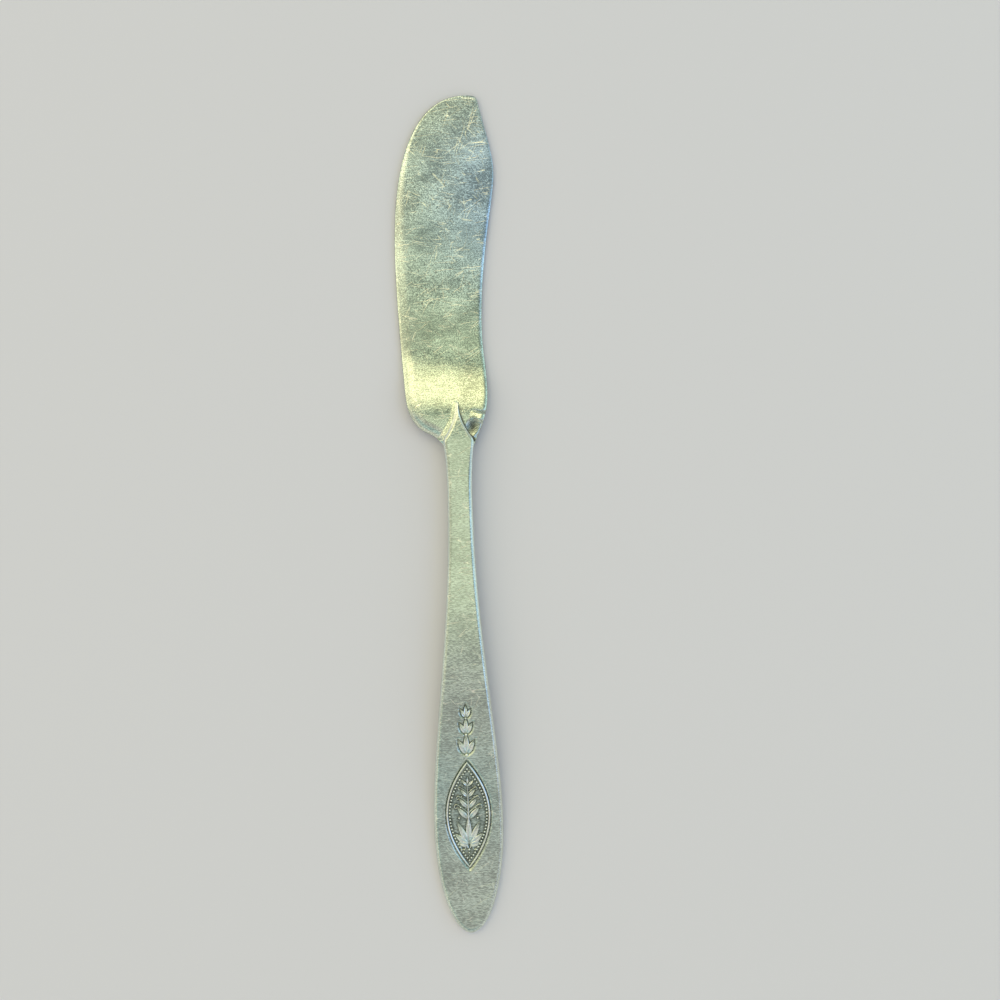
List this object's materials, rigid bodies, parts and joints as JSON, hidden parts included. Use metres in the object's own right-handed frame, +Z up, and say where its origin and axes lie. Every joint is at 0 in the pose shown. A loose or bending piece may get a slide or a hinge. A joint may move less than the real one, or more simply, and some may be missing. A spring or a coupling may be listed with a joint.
{
  "type": "butter spreader",
  "caption": "Flat-handled butter spreader with a struck leaf ornament on the handle and a cranked, round-heeled blade brazed under the neck's pointed tongue.",
  "frame": {"origin": "on the table, under the middle of the spreader's box", "axes": "+Y from the handle's end to the blade's tip, +X towards the blade's back, +Z up out of the ornamented face"},
  "size_m": [0.0192, 0.158, 0.0047],
  "materials": {
    "handle_silver": "worn satin silver plate, finely scratched, dark in the hollows of the ornament",
    "blade_silver": "worn satin silver plate, finely scratched, brighter along its edges",
    "braze": "pale silver braze"
  },
  "bodies": {
    "root": {"handle": "handle_silver", "blade": "blade_silver", "braze_film": "braze"}
  },
  "joints": []
}
